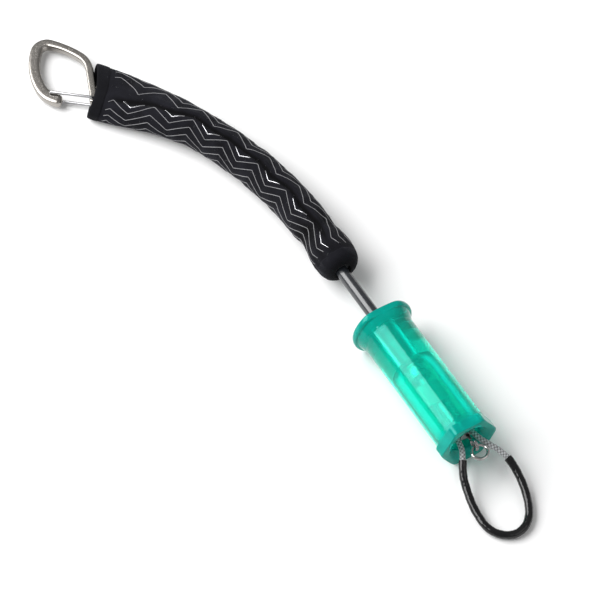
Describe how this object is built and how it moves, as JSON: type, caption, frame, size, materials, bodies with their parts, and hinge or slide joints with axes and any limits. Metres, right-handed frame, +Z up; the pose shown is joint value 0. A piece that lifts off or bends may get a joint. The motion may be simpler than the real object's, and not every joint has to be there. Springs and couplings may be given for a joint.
{
  "type": "lip grip",
  "caption": "Hand grip for holding a caught fish: a flanged handle slides and turns on a rod, with a gripping cord loop at one end and a floating sleeve with a wire-gate clip at the other.",
  "frame": {"origin": "on the ground below the middle of the outline, measured without the gripping loop", "axes": "+X along the handle towards the gripping loop, +Z up; the clip is towards -X and -Y"},
  "size_m": [0.4411, 0.104, 0.0322],
  "materials": {
    "clip_frame": "satin",
    "clip_gate": "polished",
    "sleeve_cover": "ribbed",
    "mouth_binding": "matt",
    "sleeve_hem": "matt",
    "sleeve_plug": "matt",
    "foam_core": "foam",
    "leash_cord": "braided",
    "cord_eye": "braided",
    "eye_ferrule": "satin",
    "rod_ferrule": "satin",
    "rod_core": "drawn",
    "rod_tube": "gloss",
    "stop_collar": "satin",
    "loop_ferrule": "satin",
    "end_eye": "dark",
    "eye_crimp": "satin",
    "keeper_ring": "polished",
    "thrust_washer": "satin",
    "slide_bush": "black",
    "handle_body": "clear tinted",
    "loop_line": "braided",
    "loop_cover": "gloss"
  },
  "bodies": {
    "root": {"sleeve_cover": "sleeve_cover", "mouth_binding": "mouth_binding", "sleeve_hem": "sleeve_hem", "sleeve_plug": "sleeve_plug", "foam_core": "foam_core", "leash_cord": "leash_cord", "cord_eye": "cord_eye", "eye_ferrule": "eye_ferrule", "rod_ferrule": "rod_ferrule", "rod_core": "rod_core", "rod_tube": "rod_tube", "stop_collar": "stop_collar", "loop_ferrule": "loop_ferrule", "end_eye": "end_eye", "eye_crimp": "eye_crimp", "loop_line": "loop_line", "loop_cover": "loop_cover"},
    "clip": {"clip_frame": "clip_frame"},
    "gate": {"clip_gate": "clip_gate"},
    "slider": {"slide_bush": "slide_bush", "thrust_washer": "thrust_washer"},
    "handle": {"handle_body": "handle_body"},
    "ring": {"keeper_ring": "keeper_ring"}
  },
  "joints": [
    {"name": "handle_slide", "type": "slide", "parent": "root", "child": "slider", "axis": [-1, 0, 0], "range_m": [0, 0.034]},
    {"name": "handle_turn", "type": "hinge", "parent": "slider", "child": "handle", "pos_m": [0.1358, 0.03277, 0.0161], "axis": [1, 0, 0], "continuous": true},
    {"name": "clip_swing", "type": "hinge", "parent": "root", "child": "clip", "pos_m": [-0.1435, -0.01788, 0.00743], "axis": [-0.9272, 0.3746, 0], "range_deg": [0, 8]},
    {"name": "gate_open", "type": "hinge", "parent": "clip", "child": "gate", "pos_m": [-0.14013, -0.02634, 0.00697], "axis": [-0.0261, -0.0647, 0.9976], "range_deg": [-25, 0], "stiffness_Nm_per_rad": 0.02, "springref_deg": 17.19},
    {"name": "ring_swing", "type": "hinge", "parent": "root", "child": "ring", "pos_m": [0.1879, 0.03477, 0.0161], "axis": [0, 1, 0], "range_deg": [-60, 60]}
  ]
}
